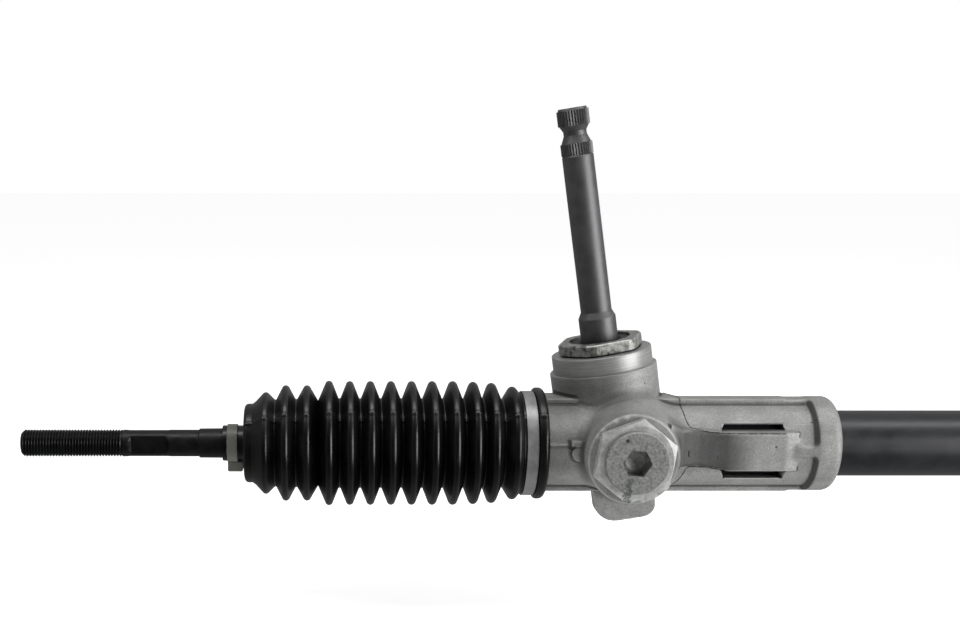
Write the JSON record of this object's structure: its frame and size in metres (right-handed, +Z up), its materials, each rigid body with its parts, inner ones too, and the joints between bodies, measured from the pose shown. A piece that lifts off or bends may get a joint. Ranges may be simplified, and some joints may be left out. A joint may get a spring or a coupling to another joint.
{
  "type": "steering rack",
  "caption": "Manual rack and pinion steering gear: cast pinion housing, steel rack tube, rubber boots, threaded inner tie rods.",
  "frame": {"origin": "on the rack bar's axis, where the yoke's axis crosses it opposite the pinion", "axes": "+X along the rack towards the tube, +Z up on the pinion's side of the housing, -Y out through the yoke plug"},
  "size_m": [0.9762, 0.0902, 0.2115],
  "materials": {
    "cast_aluminium": "satin, as cast",
    "black_steel": "satin black",
    "ground_steel": "ground and oiled",
    "bearing_steel": "polished",
    "zinc_steel": "zinc plated",
    "phosphated_steel": "oiled phosphate",
    "rubber": "matt",
    "nylon": "natural",
    "bearing_plastic": "plain",
    "spring_steel": "oil tempered"
  },
  "bodies": {
    "housing": {"housing": "cast_aluminium", "rack_tube": "black_steel", "rack_bush": "bearing_plastic", "bearing_outer_ring": "bearing_steel", "bearing_balls": "bearing_steel", "needle_cup": "bearing_steel", "bearing_needles": "bearing_steel", "pinion_nut": "zinc_steel", "pinion_seal": "rubber", "yoke": "cast_aluminium", "yoke_liner": "bearing_plastic", "yoke_o_ring": "rubber", "yoke_spring": "spring_steel", "yoke_plug": "cast_aluminium", "yoke_lock_nut": "zinc_steel", "left_boot": "rubber", "left_boot_band": "zinc_steel", "right_boot": "rubber", "right_boot_band": "zinc_steel"},
    "pinion": {"pinion_shaft": "ground_steel", "bearing_inner_ring": "bearing_steel", "pinion_circlip": "spring_steel"},
    "rack": {"rack_bar": "ground_steel", "left_ball_socket": "zinc_steel", "left_ball_seat": "bearing_plastic", "left_lock_washer": "zinc_steel", "right_ball_socket": "zinc_steel", "right_ball_seat": "bearing_plastic", "right_lock_washer": "zinc_steel"},
    "left_swivel": {"left_boot_clip": "nylon"},
    "left_rod": {"left_tie_rod": "phosphated_steel"},
    "right_swivel": {"right_boot_clip": "nylon"},
    "right_rod": {"right_tie_rod": "phosphated_steel"}
  },
  "joints": [
    {"name": "rack_slide", "type": "slide", "parent": "housing", "child": "rack", "axis": [1, 0, 0], "range_m": [-0.065, 0.065], "deforming": ["left_boot", "right_boot"]},
    {"name": "pinion_turn", "type": "hinge", "parent": "housing", "child": "pinion", "pos_m": [0, 0.016, 0], "axis": [-0.1616, 0, 0.9869], "range_deg": [-530, 530]},
    {"name": "left_rod_swing", "type": "hinge", "parent": "rack", "child": "left_swivel", "pos_m": [-0.1389, 0, 0], "axis": [0, 1, 0], "range_deg": [-18, 18]},
    {"name": "left_rod_spin", "type": "hinge", "parent": "left_swivel", "child": "left_rod", "pos_m": [-0.1389, 0, 0], "axis": [1, 0, 0], "continuous": true},
    {"name": "right_rod_swing", "type": "hinge", "parent": "rack", "child": "right_swivel", "pos_m": [0.5011, 0, 0], "axis": [0, 1, 0], "range_deg": [-18, 18]},
    {"name": "right_rod_spin", "type": "hinge", "parent": "right_swivel", "child": "right_rod", "pos_m": [0.5011, 0, 0], "axis": [1, 0, 0], "continuous": true}
  ],
  "couplings": [
    {"joint": "pinion_turn", "follows": "rack_slide", "rad_per_m": 141.88}
  ]
}
